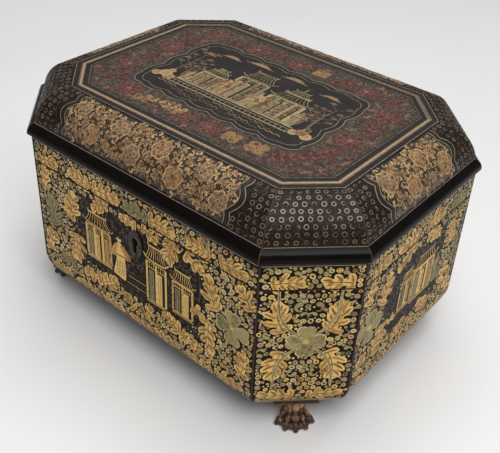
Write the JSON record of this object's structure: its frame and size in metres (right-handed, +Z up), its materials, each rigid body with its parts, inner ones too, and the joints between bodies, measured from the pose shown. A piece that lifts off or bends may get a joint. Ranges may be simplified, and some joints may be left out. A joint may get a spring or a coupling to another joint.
{
  "type": "lacquer box",
  "caption": "Lacquered keepsake box with canted corners, hinged domed lid on a moulded rim, box lock with oval keyhole plate, and carved paw feet.",
  "frame": {"origin": "on the ground under the middle of the box", "axes": "+Z up, the keyhole side faces -Y, the lid hinges along the +Y side, +X to the right of the keyhole"},
  "size_m": [0.275, 0.209, 0.1615],
  "materials": {
    "wall_lacquer": "black lacquer with gilt leaves and rings",
    "slope_lacquer": "black lacquer with gilt scrollwork and rings",
    "top_lacquer": "brown-black lacquer with red and gold flowers round a gilt scene",
    "rim_lacquer": "glossy black lacquer",
    "bottom_lacquer": "thin dark lacquer",
    "carved_foot": "carved, red-brown lacquer with worn gilding",
    "brass": "aged brass",
    "dark_brass": "darkened brass",
    "spring_steel": "blued spring steel"
  },
  "bodies": {
    "base": {"front_wall": "wall_lacquer", "front_right_wall": "wall_lacquer", "right_wall": "wall_lacquer", "back_right_wall": "wall_lacquer", "back_wall": "wall_lacquer", "back_left_wall": "wall_lacquer", "left_wall": "wall_lacquer", "front_left_wall": "wall_lacquer", "bottom_board": "bottom_lacquer", "front_right_foot": "carved_foot", "back_right_foot": "carved_foot", "back_left_foot": "carved_foot", "front_left_foot": "carved_foot", "escutcheon": "dark_brass", "escutcheon_pins": "dark_brass", "lock_plate": "brass", "lock_screws": "brass", "bolt_guides": "brass", "bolt_spring": "spring_steel", "left_hinge_lower_leaf": "brass", "right_hinge_lower_leaf": "brass", "left_hinge_pin": "brass", "right_hinge_pin": "brass", "hinge_lower_screws": "brass"},
    "lid": {"front_lid_wall": "wall_lacquer", "front_right_lid_wall": "wall_lacquer", "right_lid_wall": "wall_lacquer", "back_right_lid_wall": "wall_lacquer", "back_lid_wall": "wall_lacquer", "back_left_lid_wall": "wall_lacquer", "left_lid_wall": "wall_lacquer", "front_left_lid_wall": "wall_lacquer", "front_rim": "rim_lacquer", "front_right_rim": "rim_lacquer", "right_rim": "rim_lacquer", "back_right_rim": "rim_lacquer", "back_rim": "rim_lacquer", "back_left_rim": "rim_lacquer", "left_rim": "rim_lacquer", "front_left_rim": "rim_lacquer", "front_slope": "slope_lacquer", "front_right_slope": "slope_lacquer", "right_slope": "slope_lacquer", "back_right_slope": "slope_lacquer", "back_slope": "slope_lacquer", "back_left_slope": "slope_lacquer", "left_slope": "slope_lacquer", "front_left_slope": "slope_lacquer", "top_panel": "top_lacquer", "link_plate": "brass", "link_plate_screws": "brass", "left_hinge_upper_leaf": "brass", "right_hinge_upper_leaf": "brass", "hinge_upper_screws": "brass"},
    "bolt": {"lock_bolt": "brass"}
  },
  "joints": [
    {"name": "lid_hinge", "type": "hinge", "parent": "base", "child": "lid", "pos_m": [0, 0.1024, 0.11415], "axis": [-1, 0, 0], "range_deg": [0, 100]},
    {"name": "bolt_slide", "type": "slide", "parent": "base", "child": "bolt", "axis": [1, 0, 0], "range_m": [0, 0.005]}
  ]
}
